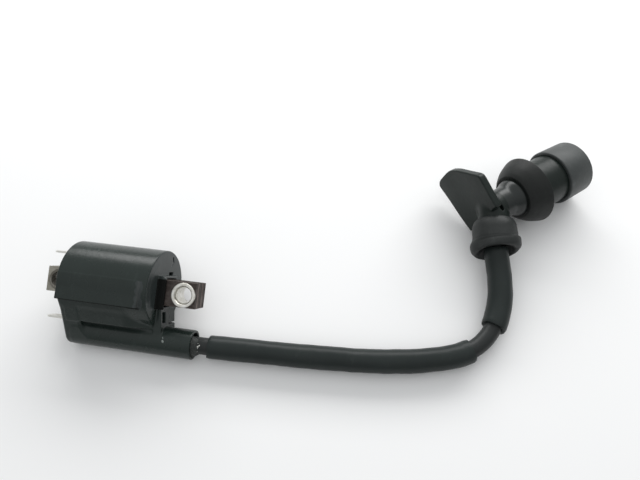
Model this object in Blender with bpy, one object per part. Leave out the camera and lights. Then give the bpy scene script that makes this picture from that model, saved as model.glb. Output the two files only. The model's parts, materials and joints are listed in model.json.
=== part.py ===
"""Ignition coil of a small engine, with its high-voltage lead and its spark plug cap.

Lengths below are millimetres, and mm() turns them into Blender's metres. +Z is up and the object lies
on z = 0. +X runs along the coil's core, towards the tower that the lead comes out of.
"""

from math import acos, cos, pi, radians, sin

import bmesh
import bpy
from mathutils import Matrix, Vector

MM = 0.001
GAP = 0.3  # clearance between two pieces that touch on the real object

# Coil: the barrel and the tower both lie on the surface, which tilts the coil about X.
BODY_R = 15.8
TOWER_R = 6.0
TOWER_DROP = 21.2  # from the barrel's axis to the tower's
TILT = acos((BODY_R - TOWER_R) / TOWER_DROP)
BODY_Y = (TOWER_R + TOWER_DROP * sin(TILT) - BODY_R) / 2  # puts the coil's middle on y = 0
BODY_LEFT, BODY_RIGHT = -21.65, 16.75
BODY_WALL = 2.0
PAD_END = 12.4
INSET = 0.15  # keeps a joined shape's faces clear of the round faces that it meets
TOWER_START, TOWER_MOUTH = -13.5, 32.2
TOWER_BORE_R = 4.8

CORE_HALF = 32.35
CORE_THICK, CORE_HIGH = 10.6, 10.4
CORE_DROP = 1.1  # the core lies this far below the barrel's axis
BUSH_X = 27.15
BUSH_BORE_R, BUSH_R, BUSH_FLANGE_R = 3.25, 4.3, 5.0
BUSH_FLANGE = 0.9

BOBBIN_ENDS = (-17.0, 13.5)
PRIMARY_R, PRIMARY_WIRE_R = 8.3, 9.6
SECONDARY_R, SECONDARY_WIRE_R = 10.5, 12.3
SECONDARY_SECTIONS = 4

BLADE = (6.3, 0.8)
BLADE_UP_Z, BLADE_DOWN_Z = 10.2, -17.0

# Lead and its sleeves, and the cap on the lead's end.
LEAD_R = 3.5
LEAD_START = 12.0
SLEEVE_BORE_R, LONG_SLEEVE_R, SHORT_SLEEVE_R = 3.85, 4.75, 5.0
LEAD_ROUTE = [
    (24.0, -14.3, 6.0), (31.65, -14.3, 6.0), (37.5, -14.1, 5.7), (43.0, -13.8, 5.2), (51.1, -13.4, 4.9),
    (63.6, -12.9, 4.85), (75.9, -12.4, 4.85), (88.0, -11.7, 4.85), (99.9, -10.9, 4.85), (111.7, -9.6, 4.85),
    (123.3, -7.7, 4.85), (134.5, -4.7, 4.85), (140.6, -2.1, 4.85), (145.6, 1.7, 4.9), (149.4, 6.4, 5.1),
    (151.9, 11.8, 5.6), (153.2, 17.6, 6.4), (153.6, 23.5, 7.6), (153.2, 29.5, 9.0), (152.2, 35.4, 10.4),
]
LONG_SLEEVE_SPAN = (38.0, 143.2)  # both as x along the route
SHORT_SLEEVE_FROM_Y = 9.5
MOUTH = Vector((151.1, 41.3, 11.9))  # centre of the cover's mouth, where the lead enters the cap
ELBOW = Vector((148.7, 60.0, 17.0))  # where the cap's two axes meet
PLUG_HEADING, PLUG_PITCH = 40.5, -6.3

SOCKET_R = 6.5
COVER_RIM_R, COVER_R, COVER_NECK_R = 10.4, 9.3, 7.2
COVER_RIM, COVER_BODY = 6.0, 14.0
TAB_BACK, TAB_FRONT = -1.9, -5.1
TAB_OUTLINE = [
    (-4.3, -16.0), (21.0, -20.2), (22.9, -18.0), (24.4, -8.6), (23.8, -5.2), (14.3, 9.6), (-0.6, 9.6),
]
NECK_R, TUBE_R = (6.5, 8.3), 10.9
SEAL_FROM, SEAL_TO, SEAL_R = 11.4, 19.8, 14.9
BOOT_FROM, BOOT_TO, BOOT_R = 33.3, 46.8, (12.4, 11.9)
PLUG_BORE_R = 8.0


def mm(*values):
    return Vector(values) * MM


def material(name, colour, roughness, metallic=0.0):
    made = bpy.data.materials.new(name)
    made.use_nodes = True
    shader = made.node_tree.nodes["Principled BSDF"]
    shader.inputs["Base Color"].default_value = (*colour, 1.0)
    shader.inputs["Roughness"].default_value = roughness
    shader.inputs["Metallic"].default_value = metallic
    return made


def finish(name, bm, slot, parent=None, smooth=30):
    """Turns a bmesh in millimetres into an object in metres, faces out and round sides smooth."""
    bmesh.ops.scale(bm, vec=(MM, MM, MM), verts=bm.verts)
    bmesh.ops.recalc_face_normals(bm, faces=bm.faces)
    mesh = bpy.data.meshes.new(name)
    bm.to_mesh(mesh)
    bm.free()
    mesh.shade_smooth()
    mesh.set_sharp_from_angle(angle=radians(smooth))
    made = bpy.data.objects.new(name, mesh)
    bpy.context.collection.objects.link(made)
    made.parent = parent
    if slot:
        mesh.materials.append(slot)
    return made


def turned(name, profile, slot=None, parent=None, segments=24, centre=(0.0, 0.0)):
    """A closed profile of (x, radius) points, turned about the X axis through centre, given as (y, z)."""
    bm = bmesh.new()
    rings = []
    for x, radius in profile:
        if radius == 0:
            rings.append([bm.verts.new((x, centre[0], centre[1]))])
            continue
        angles = [2 * pi * i / segments for i in range(segments)]
        rings.append(
            [bm.verts.new((x, centre[0] + radius * sin(t), centre[1] + radius * cos(t))) for t in angles]
        )
    for ring, after in zip(rings, rings[1:] + rings[:1]):
        for i in range(segments):
            j = (i + 1) % segments
            corners = [near[k % len(near)] for near, k in ((ring, i), (ring, j), (after, j), (after, i))]
            corners = list(dict.fromkeys(corners))
            if len(corners) > 2:
                bm.faces.new(corners)
    return finish(name, bm, slot, parent)


def block(name, x, y, z, slot=None, parent=None):
    """A box from its lowest to its highest x, y and z."""
    bm = bmesh.new()
    bmesh.ops.create_cube(bm, size=1.0)
    for vert in bm.verts:
        vert.co = Vector(pair[0] if side < 0 else pair[1] for side, pair in zip(vert.co, (x, y, z)))
    return finish(name, bm, slot, parent)


def prism(name, outline, start, end, slot=None, parent=None):
    """An outline of (y, z) points, extruded along X."""
    bm = bmesh.new()
    base = bm.faces.new([bm.verts.new((start, y, z)) for y, z in outline])
    moved = bmesh.ops.extrude_face_region(bm, geom=[base])
    bmesh.ops.translate(
        bm, vec=(end - start, 0, 0), verts=[v for v in moved["geom"] if isinstance(v, bmesh.types.BMVert)]
    )
    return finish(name, bm, slot, parent)


def combine(made, others, operation="UNION", solver="EXACT"):
    """Adds a Boolean for each other object, and hides it as a helper."""
    for other in others:
        modifier = made.modifiers.new(other.name, "BOOLEAN")
        modifier.operation = operation
        modifier.object = other
        modifier.solver = solver
        other.hide_render = True
        other.display_type = "WIRE"
        other.parent = made.parent
        other.matrix_parent_inverse = made.matrix_parent_inverse
    return made


def cut(made, others, solver="EXACT"):
    return combine(made, others, "DIFFERENCE", solver)


def bevel(made, width, segments=2, angle=40):
    modifier = made.modifiers.new("Rounded edges", "BEVEL")
    modifier.width = width * MM
    modifier.segments = segments
    modifier.limit_method = "ANGLE"
    modifier.angle_limit = radians(angle)
    return made


def frame(name, origin, x_axis, y_axis, parent=None):
    """An empty at origin, in millimetres, with the given local axes."""
    made = bpy.data.objects.new(name, None)
    bpy.context.collection.objects.link(made)
    z_axis = x_axis.cross(y_axis)
    turn = Matrix((x_axis, y_axis, z_axis)).transposed().to_4x4()
    made.matrix_world = Matrix.Translation(origin * MM) @ turn
    if parent:
        made.parent = parent
        made.matrix_parent_inverse = parent.matrix_world.inverted()
    return made


def smooth_route(points, step):
    """Points every step along a Catmull-Rom curve through the given points."""
    points = [Vector(p) for p in points]
    padded = [2 * points[0] - points[1]] + points + [2 * points[-1] - points[-2]]
    fine = []
    for p0, p1, p2, p3 in zip(padded, padded[1:], padded[2:], padded[3:]):
        for i in range(16):
            t = i / 16
            fine.append(
                0.5 * (2 * p1 + (p2 - p0) * t + (2 * p0 - 5 * p1 + 4 * p2 - p3) * t**2
                       + (3 * p1 - p0 - 3 * p2 + p3) * t**3)
            )
    fine.append(points[-1])
    total = sum((b - a).length for a, b in zip(fine, fine[1:]))
    count = round(total / step)
    wanted, made, passed = total / count, [fine[0]], 0.0
    for a, b in zip(fine, fine[1:]):
        length = (b - a).length
        while len(made) < count and passed + length >= wanted * len(made):
            made.append(a.lerp(b, (wanted * len(made) - passed) / length))
        passed += length
    return made + [points[-1]]


def evenly(points, count):
    """The ends of a fine route and the points that divide it into count parts."""
    return [points[round(i * (len(points) - 1) / count)] for i in range(count + 1)]


def sleeve(name, route, radius, bore, slot):
    """A tube with an open bore along the route, its walls made of rings square to the route."""
    sides = 12
    bm = bmesh.new()
    outer, inner = [], []
    for i, point in enumerate(route):
        along = (route[min(i + 1, len(route) - 1)] - route[max(i - 1, 0)]).normalized()
        side = along.cross(Vector((0, 0, 1))).normalized()
        up = side.cross(along)
        for rings, r in ((outer, radius), (inner, bore)):
            rings.append(
                [bm.verts.new(point + r * (side * cos(2 * pi * k / sides) + up * sin(2 * pi * k / sides)))
                 for k in range(sides)]
            )
    for rings in (outer, inner):
        for ring, after in zip(rings, rings[1:]):
            for k in range(sides):
                bm.faces.new([ring[k], ring[k - 1], after[k - 1], after[k]])
    for end in (0, -1):
        for k in range(sides):
            bm.faces.new([outer[end][k], outer[end][k - 1], inner[end][k - 1], inner[end][k]])
    return finish(name, bm, slot)


def circle_outline(radius, start, end, steps, centre=(0.0, 0.0)):
    """Points (y, z) on an arc, with angles in degrees from +Y towards +Z."""
    angles = [radians(start + (end - start) * i / steps) for i in range(steps + 1)]
    return [(centre[0] + radius * cos(t), centre[1] + radius * sin(t)) for t in angles]


def make_housing(slot, parent):
    """Barrel, flat pad, web, tower and ribbed end of the case, in one moulding, open at its left end."""
    core_z = -CORE_DROP
    body = turned(
        "coil_housing",
        [(BODY_LEFT, 0), (BODY_LEFT, BODY_R), (BODY_RIGHT - 0.6, BODY_R), (BODY_RIGHT, BODY_R - 0.6),
         (BODY_RIGHT, 0)],
        slot, parent, segments=48,
    )
    pad_face = -BODY_R - 0.15
    pad = prism(
        "pad",
        [(-BODY_R + 3, 3.4), (pad_face, 3.3), (pad_face, -7.6), (-BODY_R + 3, -7.8)],
        BODY_LEFT + 0.1, PAD_END,
    )
    bevel(pad, 0.4)
    # The full web at the left is as wide as the tangents from the barrel to the tower.
    lean = pi / 2 - TILT
    hip_y, hip_z = (BODY_R - INSET) * cos(lean), -(BODY_R - INSET) * sin(lean)
    toe = circle_outline(TOWER_R - INSET, 207, 333, 10, (0, -TOWER_DROP))
    web = prism("full_web", [(-hip_y, hip_z)] + toe + [(hip_y, hip_z)], BODY_LEFT + 0.05, TOWER_START)
    bevel(web, 1.0, 3, 50)
    # The barrel's underside runs on as a shoulder over the groove between it and the tower.
    shoulder = prism(
        "shoulder", [(-hip_y + 0.4, hip_z), (-8.9, -16.2), (8.9, -16.2), (hip_y - 0.4, hip_z)],
        TOWER_START - 2, BODY_RIGHT - 4,
    )
    rib = block("web_rib", (TOWER_START - 4, BODY_RIGHT - 0.7), (-5.2, 5.2), (-TOWER_DROP, -9.0))
    tower = turned(
        "tower",
        [(TOWER_START - 2, 0), (TOWER_START - 2, TOWER_R - 0.6), (TOWER_START, TOWER_R),
         (TOWER_MOUTH - 0.5, TOWER_R), (TOWER_MOUTH, TOWER_R - 0.5), (TOWER_MOUTH, 0)],
        segments=30, centre=(0, -TOWER_DROP),
    )
    # The boss's back corner is cut off, so that it clears the surface that the coil lies on.
    boss = prism(
        "end_boss",
        [(-5.3, core_z - 5.9), (-5.3, -TOWER_DROP + 1), (6.7, -TOWER_DROP + 1), (9.0, -15.9),
         (9.0, core_z - 5.9)],
        BODY_RIGHT - 1.1, BODY_RIGHT + 2.3,
    )
    shelf = block(
        "core_shelf", (BODY_RIGHT - 1.4, BODY_RIGHT + 2.05), (-6.7, 6.7), (core_z - 6.5, core_z + 6.7)
    )
    bevel(shelf, 0.4)
    # The tower crosses the boss's end face on a curve that the EXACT solver leaves open.
    combine(body, [pad, web, shoulder, rib, tower, boss, shelf], solver="MANIFOLD")

    cavity = turned(
        "cavity",
        [(BODY_LEFT - 1, 0), (BODY_LEFT - 1, BODY_R - BODY_WALL),
         (BODY_RIGHT - BODY_WALL, BODY_R - BODY_WALL), (BODY_RIGHT - BODY_WALL, 0)],
        segments=36,
    )
    terminal_bay = block(
        "terminal_bay", (BODY_LEFT - 1, BODY_LEFT + 5), (-4.4, 4.4), (BLADE_DOWN_Z - 1.6, -BODY_R + 4)
    )
    core_hole = block(
        "core_hole", (BODY_RIGHT - 5, BODY_RIGHT + 5),
        (-CORE_THICK / 2 - GAP, CORE_THICK / 2 + GAP),
        (core_z - CORE_HIGH / 2 - GAP, core_z + CORE_HIGH / 2 + GAP),
    )
    boss_slot = block("boss_slot", (BODY_RIGHT + 0.4, BODY_RIGHT + 5), (-3.6, -0.6), (-13.6, core_z - 8.3))
    bore = turned(
        "tower_bore",
        [(LEAD_START - 6, 0), (LEAD_START - 6, TOWER_BORE_R), (TOWER_MOUTH - 1, TOWER_BORE_R),
         (TOWER_MOUTH + 1, TOWER_BORE_R + 0.4), (TOWER_MOUTH + 1, 0)],
        segments=24, centre=(0, -TOWER_DROP),
    )
    feed = turned(
        "contact_feed",
        [(-4, 0), (-4, 1.6), (LEAD_START - 5, 1.6), (LEAD_START - 5, 0)],
        segments=16, centre=(0, -TOWER_DROP),
    )
    riser = block("contact_riser", (-4.5, -1.5), (-1.5, 1.5), (-TOWER_DROP - 1.5, -BODY_R + 3))
    cut(body, [cavity, terminal_bay, core_hole, boss_slot, bore, feed, riser], solver="MANIFOLD")
    return body


def make_inside(slots, parent):
    """Potting, bobbins and windings round the core, and the contact that feeds the tower."""
    core_z = -CORE_DROP
    hole = (CORE_THICK / 2 + GAP, CORE_HIGH / 2 + GAP)

    def core_way(name, start, end):
        return block(name, (start, end), (-hole[0], hole[0]), (core_z - hole[1], core_z + hole[1]))

    potting = turned(
        "epoxy_potting",
        [(BODY_LEFT + 0.5, 0), (BODY_LEFT + 0.5, BODY_R - BODY_WALL - GAP),
         (BOBBIN_ENDS[0] - GAP, BODY_R - BODY_WALL - GAP), (BOBBIN_ENDS[0] - GAP, 0)],
        slots["epoxy"], parent, segments=36,
    )
    slot_y, slot_z = BLADE[0] / 2 + GAP, BLADE[1] / 2 + GAP
    upper = block(
        "upper_blade_way", (BODY_LEFT - 1, BODY_LEFT + 3.6), (-slot_y, slot_y),
        (BLADE_UP_Z - slot_z, BLADE_UP_Z + slot_z),
    )
    cut(potting, [core_way("potting_core_way", BODY_LEFT - 1, BOBBIN_ENDS[0] + 1), upper])

    start, end = BOBBIN_ENDS
    primary = turned(
        "primary_bobbin",
        [(start, 0), (start, PRIMARY_WIRE_R + 0.3), (start + 1, PRIMARY_WIRE_R + 0.3),
         (start + 1, PRIMARY_R),
         (end - 1, PRIMARY_R), (end - 1, PRIMARY_WIRE_R + 0.3), (end, PRIMARY_WIRE_R + 0.3), (end, 0)],
        slots["bobbin"], parent, centre=(0, core_z),
    )
    cut(primary, [core_way("bobbin_core_way", start - 1, end + 1)])
    turned(
        "primary_winding",
        [(start + 1 + GAP, PRIMARY_R + GAP), (start + 1 + GAP, PRIMARY_WIRE_R),
         (end - 1 - GAP, PRIMARY_WIRE_R), (end - 1 - GAP, PRIMARY_R + GAP)],
        slots["wire"], parent, centre=(0, core_z),
    )

    flange, pitch = 1.0, (end - start - 1.0) / SECONDARY_SECTIONS
    inner = PRIMARY_WIRE_R + 0.3 + GAP
    profile = [(start, inner)]
    for i in range(SECONDARY_SECTIONS + 1):
        x = start + i * pitch
        profile += [(x, SECONDARY_WIRE_R + 0.3), (x + flange, SECONDARY_WIRE_R + 0.3)]
        if i < SECONDARY_SECTIONS:
            profile += [(x + flange, SECONDARY_R), (x + pitch, SECONDARY_R)]
    profile.append((end, inner))
    secondary = turned(
        "secondary_bobbin", profile, slots["bobbin"], parent, segments=20, centre=(0, core_z),
    )
    crossing_z = (core_z + SECONDARY_R + GAP, core_z + SECONDARY_WIRE_R + 2)
    notch = block("flange_notch", (start + flange / 2, end - flange / 2), (-1.1, 1.1),
                  (core_z + SECONDARY_R + 0.2, core_z + SECONDARY_WIRE_R + 2))
    cut(secondary, [notch])
    rings = [
        turned(
            "secondary_winding" if i == 0 else f"winding_section_{i + 1}",
            [(x0, SECONDARY_R + GAP), (x0, SECONDARY_WIRE_R), (x1, SECONDARY_WIRE_R),
             (x1, SECONDARY_R + GAP)],
            slots["wire"], parent, segments=20, centre=(0, core_z),
        )
        for i in range(SECONDARY_SECTIONS)
        for x0, x1 in [(start + i * pitch + flange + GAP, start + (i + 1) * pitch - GAP)]
    ]
    crossing = block(
        "winding_crossing", (start + flange + 1, end - flange - 1), (-0.6, 0.6),
        (crossing_z[0] + 0.2, crossing_z[0] + 1.0),
    )
    combine(rings[0], rings[1:] + [crossing])

    # A nail-like pin on the tower's axis, which the lead is pushed against.
    turned(
        "high_voltage_contact",
        [(-3.2, 0), (-3.2, 1.2), (LEAD_START - 5.6, 1.2), (LEAD_START - 5.6, 3.6), (LEAD_START - 4.6, 3.6),
         (LEAD_START - 4.6, 0.9), (LEAD_START - 1.6, 0.9), (LEAD_START - GAP, 0)],
        slots["brass"], parent, segments=20, centre=(0, -TOWER_DROP),
    )
    turned(
        "tower_seal",
        [(TOWER_MOUTH - 4, LEAD_R + GAP), (TOWER_MOUTH - 4, TOWER_BORE_R - GAP),
         (TOWER_MOUTH - 0.2, TOWER_BORE_R - GAP), (TOWER_MOUTH + 1.2, TOWER_BORE_R - 0.4),
         (TOWER_MOUTH + 2.4, LEAD_R + GAP + 0.1), (TOWER_MOUTH + 2.4, LEAD_R + GAP)],
        slots["glue"], parent, segments=24, centre=(0, -TOWER_DROP),
    )


def make_core(slots, parent):
    """Stacked steel bar, with a flanged bush through each end."""
    core_z = -CORE_DROP
    core = block(
        "laminated_core", (-CORE_HALF, CORE_HALF), (-CORE_THICK / 2, CORE_THICK / 2),
        (core_z - CORE_HIGH / 2, core_z + CORE_HIGH / 2), slots["core"], parent,
    )
    bevel(core, 0.25, 1)
    for name, x in (("left", -BUSH_X), ("right", BUSH_X)):
        hole = bar_hole(f"{name}_bush_hole", x, core_z, BUSH_R + GAP)
        cut(core, [hole])
        # Both bushes stand a little proud of the sheets, and only the right one has a flange.
        inside = CORE_THICK / 2 + 0.1
        outside = inside + (BUSH_FLANGE if name == "right" else 0)
        profile = [
            (-inside, BUSH_BORE_R + 0.3), (-inside + 0.3, BUSH_BORE_R), (outside - 0.3, BUSH_BORE_R),
            (outside, BUSH_BORE_R + 0.3),
        ]
        if name == "right":
            profile += [(outside, BUSH_FLANGE_R - 0.3), (outside - 0.3, BUSH_FLANGE_R),
                        (inside, BUSH_FLANGE_R)]
        profile += [(inside, BUSH_R), (-inside, BUSH_R)]
        bush = turned(f"{name}_mount_bush", profile, slots["zinc"], parent, segments=28)
        bush.matrix_local = Matrix.Translation(mm(x, 0, core_z)) @ Matrix.Rotation(-pi / 2, 4, "Z")
    return core


def bar_hole(name, x, z, radius):
    """A round cutter across the core, along local Y."""
    made = turned(name, [(-9, 0), (-9, radius), (9, radius), (9, 0)], segments=28)
    made.data.transform(Matrix.Translation(mm(x, 0, z)) @ Matrix.Rotation(-pi / 2, 4, "Z"))
    return made


def make_terminals(slot, parent):
    """Two tab blades with a locking hole, which come out of the coil's left end."""
    half, tip = BLADE[0] / 2, -CORE_HALF
    for name, z, root in (("power_terminal", BLADE_UP_Z, 3.0), ("earth_terminal", BLADE_DOWN_Z, 4.0)):
        outline = [(half - 1, tip), (half, tip + 1.4), (half, BODY_LEFT + root)]
        outline += [(-y, x) for y, x in reversed(outline)]
        blade = prism(name, outline, -BLADE[1] / 2, BLADE[1] / 2, slot, parent)
        hole = turned(f"{name}_hole", [(-3, 0), (-3, 0.85), (3, 0.85), (3, 0)], segments=16,
                      centre=(0, tip + 3.6))
        for made in (blade, hole):
            made.data.transform(Matrix.Translation(mm(0, 0, z)) @ Matrix.Rotation(pi / 2, 4, "Y"))
        cut(blade, [hole])


def make_lead(slots, inward):
    """The lead as one curve from the tower's contact into the cap, and its two sleeves. inward points from
    the cover's mouth to the elbow, and the lead is straight along it inside the cap."""
    ahead = [MOUTH + inward * reach for reach in (0.0, 5.0, 13.6)]
    route = [(LEAD_START, -14.3, 6.0)] + LEAD_ROUTE + [tuple(p) for p in ahead]
    tower_line = Vector((0.0, BODY_Y - TOWER_DROP * sin(TILT), BODY_R - TOWER_DROP * cos(TILT)))
    route = [(x, tower_line.y, tower_line.z) if x < TOWER_MOUTH + 1 else (x, y, z) for x, y, z in route]
    points = smooth_route(route, 5.0)
    curve = bpy.data.curves.new("ht_lead", "CURVE")
    curve.dimensions = "3D"
    curve.bevel_depth = LEAD_R * MM
    curve.bevel_resolution = 4
    curve.use_fill_caps = True
    spline = curve.splines.new("POLY")
    spline.points.add(len(points) - 1)
    for target, point in zip(spline.points, points):
        target.co = (*(point * MM), 1.0)
    lead = bpy.data.objects.new("ht_lead", curve)
    curve.materials.append(slots["rubber"])
    bpy.context.collection.objects.link(lead)

    fine = smooth_route(route, 0.5)
    first, last = LONG_SLEEVE_SPAN
    long_run = [p for p in fine if first <= p.x <= last and p.y < 5]
    sleeve("long_sleeve", evenly(long_run, 22), LONG_SLEEVE_R, SLEEVE_BORE_R, slots["sleeve"])
    stop = MOUTH + inward * 2.4
    short_run = [p for p in fine if p.y > SHORT_SLEEVE_FROM_Y and (p - stop).dot(inward) < 0]
    sleeve("short_sleeve", evenly(short_run, 8), SHORT_SLEEVE_R, SLEEVE_BORE_R, slots["sleeve"])
    return lead


def make_cap(slots, plug_frame, socket_frame, depth):
    """The cap's moulding: socket, elbow, finger tab, neck and tube. depth is the socket's length."""
    neck_near, neck_far = NECK_R
    body = turned(
        "cap_body",
        [(-1.0, 0), (-1.0, 5.6), (0.6, neck_near), (8.0, neck_near + 0.3), (SEAL_FROM, neck_far),
         (SEAL_TO - 2, neck_far + 0.6), (SEAL_TO - 1, TUBE_R - 0.4), (SEAL_TO, TUBE_R),
         (BOOT_FROM + 8, TUBE_R), (BOOT_FROM + 8, 0)],
        slots["cap"], plug_frame, segments=36,
    )
    tab = prism("finger_tab", TAB_OUTLINE, TAB_FRONT, TAB_BACK)
    bevel(tab, 0.5)
    socket = turned(
        "socket",
        [(-7.6, 0), (-7.2, 2.6), (-6.0, 4.7), (-3.6, 6.1), (0, SOCKET_R), (depth - 6.6, SOCKET_R),
         (depth - 6.6, 0)],
        segments=28,
    )
    fillet = turned("elbow_fill", [(-3.6, 0), (-3.6, 6.6), (3.0, 6.2), (3.0, 0)], segments=28)
    combine(body, [tab, fillet])
    place_in(body, socket, socket_frame)
    combine(body, [socket])
    plug_bore = turned(
        "plug_bore",
        [(3.4, 0), (3.4, 3.6), (24.0, 3.6), (24.0, 4.6), (30.0, 4.6), (30.0, PLUG_BORE_R),
         (BOOT_TO, PLUG_BORE_R), (BOOT_TO, 0)],
        segments=28,
    )
    lead_bore = turned(
        "lead_bore",
        [(-1.6, 0), (-1.6, 2.9), (3.6, 2.9), (3.6, LEAD_R + GAP), (depth, LEAD_R + GAP), (depth, 0)],
        segments=24,
    )
    way = turned("contact_way", [(-1.0, 0), (-1.0, 1.4), (4.0, 1.4), (4.0, 0)], segments=16)
    cut(body, [plug_bore, way])
    place_in(body, lead_bore, socket_frame)
    cut(body, [lead_bore])
    return body


def place_in(body, helper, home):
    """Moves a helper's mesh from one frame into the frame of the body that it will shape."""
    helper.data.transform(body.parent.matrix_world.inverted() @ home.matrix_world)


def make_cap_soft(slots, plug_frame, socket_frame, depth):
    """The rubber pieces: cover round the lead, umbrella seal on the neck, boot on the tube."""
    top, rim = depth - COVER_BODY, depth - COVER_RIM
    hollow = SOCKET_R + GAP
    turned(
        "lead_end_cover",
        [(top, hollow), (top, COVER_NECK_R), (top + 1.2, 8.3), (top + 3.0, COVER_R - 0.2),
         (rim - 0.6, COVER_R),
         (rim, COVER_RIM_R - 0.5), (rim + 0.6, COVER_RIM_R), (depth - 1.2, COVER_RIM_R),
         (depth - 0.3, COVER_RIM_R - 0.8), (depth, 9.0), (depth, 7.6), (depth - 2.6, SHORT_SLEEVE_R + GAP),
         (depth - 4.2, SHORT_SLEEVE_R + GAP), (depth - 4.2, LEAD_R + GAP), (depth - 6.3, LEAD_R + GAP),
         (depth - 6.3, hollow)],
        slots["soft"], socket_frame, segments=30,
    )
    near = NECK_R[1] + GAP
    turned(
        "umbrella_seal",
        [(SEAL_FROM, near), (SEAL_FROM, 9.4), (SEAL_FROM + 0.9, 10.7), (SEAL_FROM + 2.4, 12.0),
         (SEAL_FROM + 4.6, 13.4), (SEAL_TO - 1.0, SEAL_R - 0.4), (SEAL_TO, SEAL_R), (SEAL_TO, SEAL_R - 1.1),
         (SEAL_TO - 3.0, 12.2), (SEAL_FROM + 3.2, 10.6), (SEAL_TO - 3.6, 9.6),
         (SEAL_TO - 3.6, NECK_R[1] + 0.9)],
        slots["soft"], plug_frame, segments=36,
    )
    turned(
        "plug_boot",
        [(BOOT_FROM, TUBE_R + GAP), (BOOT_FROM, BOOT_R[0] - 0.4), (BOOT_FROM + 0.4, BOOT_R[0]),
         (BOOT_TO - 1.0, BOOT_R[1]), (BOOT_TO, BOOT_R[1] - 1.0), (BOOT_TO, 8.4), (BOOT_TO - 5, 7.6),
         (BOOT_FROM + 8 + GAP, 7.6), (BOOT_FROM + 8 + GAP, TUBE_R + GAP)],
        slots["soft"], plug_frame, segments=36,
    )


def make_cap_inside(slots, plug_frame, socket_frame):
    """What carries the spark: screw contact, resistor, spring, plug terminal and its wire clip."""
    turned(
        "lead_screw_contact",
        [(-1.2, 0), (-1.2, 2.4), (0.4, 2.4), (0.4, 1.1), (3.6, 1.1), (5.4, 0)],
        slots["brass"], socket_frame, segments=20,
    )
    turned(
        "suppressor_resistor",
        [(4.0, 0), (4.0, 2.6), (5.2, 3.2), (15.0, 3.2), (16.2, 2.6), (16.2, 0)],
        slots["ceramic"], plug_frame, segments=20,
    )
    spring(
        "contact_spring", 16.6, 21.4, 2.6, 0.35, 4.5, slots["zinc"], plug_frame,
    )
    turned(
        "plug_terminal_contact",
        [(22.0, 0), (22.0, 3.2), (24.3, 3.2), (24.3, 4.1), (29.6, 4.1), (29.6, 3.3), (31.5, 3.3),
         (31.5, 2.5), (25.0, 2.5), (25.0, 0)],
        slots["brass"], plug_frame, segments=20,
    )
    turned(
        "retaining_clip",
        [(30.4, 3.65), (30.4, 4.25), (31.0, 4.25), (31.0, 3.65)],
        slots["zinc"], plug_frame, segments=20,
    )


def spring(name, start, end, radius, wire, turns, slot, parent):
    """A helical wire along local X, with closed ends."""
    count = round(10 * turns)
    curve = bpy.data.curves.new(name, "CURVE")
    curve.dimensions = "3D"
    curve.bevel_depth = wire * MM
    curve.bevel_resolution = 1
    curve.use_fill_caps = True
    line = curve.splines.new("POLY")
    line.points.add(count)
    for i, point in enumerate(line.points):
        turn = 2 * pi * turns * i / count
        x = start + wire + (end - start - 2 * wire) * i / count
        point.co = (*mm(x, radius * cos(turn), radius * sin(turn)), 1.0)
    curve.materials.append(slot)
    made = bpy.data.objects.new(name, curve)
    made.parent = parent
    bpy.context.collection.objects.link(made)
    return made


def main():
    for existing in list(bpy.data.objects):
        bpy.data.objects.remove(existing)
    slots = {
        "housing": material("black_housing", (0.028, 0.030, 0.030), 0.45),
        "epoxy": material("dark_epoxy", (0.02, 0.02, 0.022), 0.3),
        "bobbin": material("natural_bobbin", (0.75, 0.72, 0.62), 0.5),
        "wire": material("enamelled_wire", (0.62, 0.27, 0.10), 0.35, 0.8),
        "core": material("laminated_steel", (0.30, 0.24, 0.20), 0.6, 0.7),
        "zinc": material("zinc_plate", (0.72, 0.71, 0.66), 0.35, 0.9),
        "tin": material("tinned_brass", (0.68, 0.66, 0.60), 0.3, 0.9),
        "brass": material("brass", (0.66, 0.48, 0.20), 0.3, 0.9),
        "glue": material("clear_glue", (0.80, 0.80, 0.76), 0.2),
        "rubber": material("lead_rubber", (0.025, 0.026, 0.026), 0.5),
        "sleeve": material("sleeve_vinyl", (0.022, 0.026, 0.024), 0.42),
        "cap": material("cap_resin", (0.035, 0.038, 0.038), 0.32),
        "soft": material("cap_rubber", (0.04, 0.042, 0.042), 0.62),
        "ceramic": material("resistor_ceramic", (0.85, 0.83, 0.78), 0.5),
    }
    x_axis = Vector((1, 0, 0))
    back = Vector((0, cos(TILT), -sin(TILT)))
    coil_frame = frame("coil_frame", Vector((0, BODY_Y, BODY_R)), x_axis, back)
    heading, pitch = radians(PLUG_HEADING), radians(PLUG_PITCH)
    plug = Vector((cos(heading) * cos(pitch), sin(heading) * cos(pitch), sin(pitch)))
    outward = (MOUTH - ELBOW).normalized()
    depth = (MOUTH - ELBOW).length
    side = -(outward - outward.dot(plug) * plug).normalized()
    swivel = frame("cap_swivel", ELBOW, outward, outward.cross(plug).normalized())
    socket_frame = swivel
    bpy.context.view_layer.update()
    plug_frame = frame("plug_frame", ELBOW, plug, side, parent=swivel)
    bpy.context.view_layer.update()

    make_housing(slots["housing"], coil_frame)
    make_inside(slots, coil_frame)
    make_core(slots, coil_frame)
    make_terminals(slots["tin"], coil_frame)
    make_lead(slots, -outward)
    make_cap(slots, plug_frame, socket_frame, depth)
    make_cap_soft(slots, plug_frame, socket_frame, depth)
    make_cap_inside(slots, plug_frame, socket_frame)


main()
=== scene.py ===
"""Ignition coil with its high-voltage lead and spark plug cap: the looks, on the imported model's frame.

Shapes are worked out in millimetres, each in the frame of the coil or of the cap, and are placed in metres
by that frame's matrix. +Z is up and the object lies on z = 0.
"""

import json

from math import acos, cos, pi, radians, sin

import bpy
import numpy as np
from mathutils import Matrix, Vector


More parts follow.
